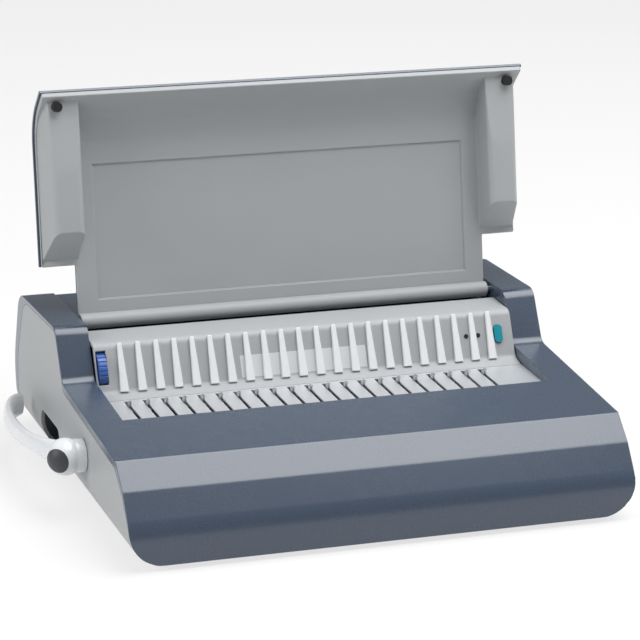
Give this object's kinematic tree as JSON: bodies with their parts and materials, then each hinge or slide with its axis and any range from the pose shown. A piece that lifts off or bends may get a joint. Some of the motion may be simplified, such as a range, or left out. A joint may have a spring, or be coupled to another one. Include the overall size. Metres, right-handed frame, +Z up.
{
  "type": "comb binding machine",
  "caption": "Desk machine that punches sheets in a throat and opens a plastic comb on hooked fingers, with a hinged lid, side lever, punch button and chip drawer.",
  "frame": {"origin": "middle of the bounding box, on the table under the feet", "axes": "+X to the machine's right, +Y to its rear, +Z up"},
  "size_m": [0.4239, 0.3251, 0.2889],
  "materials": {
    "case": "satin blue-grey",
    "light_plastic": "fine grained light grey",
    "dark_plastic": "fine grained dark grey",
    "base": "dark paint",
    "rubber": "matte black",
    "screw": "zinc plated",
    "finger": "near white",
    "label": "plain pale film",
    "lens": "dark lens",
    "tray": "silver grey",
    "button": "teal",
    "wheel": "blue",
    "bracket": "zinc plated sheet",
    "tool_steel": "ground",
    "steel": "turned",
    "gear": "cut teeth",
    "bronze": "sintered",
    "motor": "plated can",
    "lever": "silver white",
    "mains": "black",
    "core": "laminated",
    "board": "green laminate",
    "component": "black"
  },
  "bodies": {
    "housing": {"base_pan": "base", "rubber_feet": "rubber", "front_cover": "case", "rear_cover": "case", "left_side_panel": "light_plastic", "right_side_panel": "light_plastic", "hand_hold_liner": "dark_plastic", "case_screws": "screw", "comb_back_plate": "light_plastic", "comb_fingers": "finger", "size_label_plate": "label", "indicator_lenses": "lens", "comb_tray_plate": "tray", "button_switch": "dark_plastic", "wheel_bracket": "bracket", "left_frame_plate": "bracket", "right_frame_plate": "bracket", "die_plate": "tool_steel", "stripper_plate": "tool_steel", "paper_stop_bar": "tool_steel", "bar_guides": "bracket", "drive_bearings": "bronze", "gearbox": "dark_plastic", "motor_can": "motor", "motor_mount": "bracket", "lever_bushes": "bronze", "hook_guides": "bracket", "hinge_pins": "steel", "tray_runners": "bracket", "mains_inlet": "mains", "switch_frame": "mains", "transformer": "core", "circuit_board": "board", "board_components": "component"},
    "lid": {"lid_shell": "case", "lid_liner": "light_plastic", "lid_bumpers": "rubber"},
    "lever": {"comb_lever": "lever", "lever_cap": "dark_plastic", "lever_shaft": "steel", "lever_pinions": "gear"},
    "hooks": {"hook_bar": "steel", "hook_racks": "steel"},
    "drive": {"drive_shaft": "steel", "drive_gear": "gear", "punch_pinions": "gear"},
    "punch": {"punch_bar": "tool_steel", "punch_pins": "tool_steel", "punch_racks": "tool_steel"},
    "motor_output": {"motor_pinion": "steel"},
    "button": {"punch_button": "button"},
    "guide_wheel": {"edge_wheel": "wheel"},
    "guide_stop": {"edge_stop": "dark_plastic"},
    "chip_drawer": {"waste_tray": "light_plastic"},
    "rocker": {"power_rocker": "mains"}
  },
  "joints": [
    {"name": "lid_hinge", "type": "hinge", "parent": "housing", "child": "lid", "pos_m": [0.016, 0.0717, 0.1096], "axis": [1, 0, 0], "range_deg": [0, 105.5]},
    {"name": "lever_pivot", "type": "hinge", "parent": "housing", "child": "lever", "pos_m": [0.016, -0.0425, 0.046], "axis": [1, 0, 0], "range_deg": [0, 105]},
    {"name": "hook_slide", "type": "slide", "parent": "housing", "child": "hooks", "axis": [0, -1, 0], "range_m": [0, 0.0275]},
    {"name": "drive_spin", "type": "hinge", "parent": "housing", "child": "drive", "pos_m": [0.016, 0.1195, 0.053], "axis": [1, 0, 0], "range_deg": [0, 57.4]},
    {"name": "punch_slide", "type": "slide", "parent": "housing", "child": "punch", "axis": [0, -1, 0], "range_m": [0, 0.01]},
    {"name": "motor_spin", "type": "hinge", "parent": "housing", "child": "motor_output", "pos_m": [0.016, 0.13301, 0.03614], "axis": [1, 0, 0], "range_deg": [-114.79, 0]},
    {"name": "button_press", "type": "slide", "parent": "housing", "child": "button", "axis": [0, 0.8894, -0.4571], "range_m": [0, 0.0025], "stiffness_N_per_m": 400},
    {"name": "guide_wheel_turn", "type": "hinge", "parent": "housing", "child": "guide_wheel", "pos_m": [-0.14882, 0.02771, 0.08517], "axis": [1, 0, 0], "range_deg": [-135, 135]},
    {"name": "guide_stop_slide", "type": "slide", "parent": "housing", "child": "guide_stop", "axis": [1, 0, 0], "range_m": [-0.00451, 0.00451]},
    {"name": "drawer_slide", "type": "slide", "parent": "housing", "child": "chip_drawer", "axis": [1, 0, 0], "range_m": [0, 0.28]},
    {"name": "rocker_tilt", "type": "hinge", "parent": "housing", "child": "rocker", "pos_m": [-0.084, 0.1565, 0.04], "axis": [-1, 0, 0], "range_deg": [0, 20]}
  ],
  "couplings": [
    {"joint": "hook_slide", "follows": "lever_pivot", "m_per_rad": 0.015},
    {"joint": "drive_spin", "follows": "punch_slide", "rad_per_m": 100},
    {"joint": "motor_spin", "follows": "punch_slide", "rad_per_m": -200},
    {"joint": "guide_stop_slide", "follows": "guide_wheel_turn", "m_per_rad": 0.0019099}
  ]
}
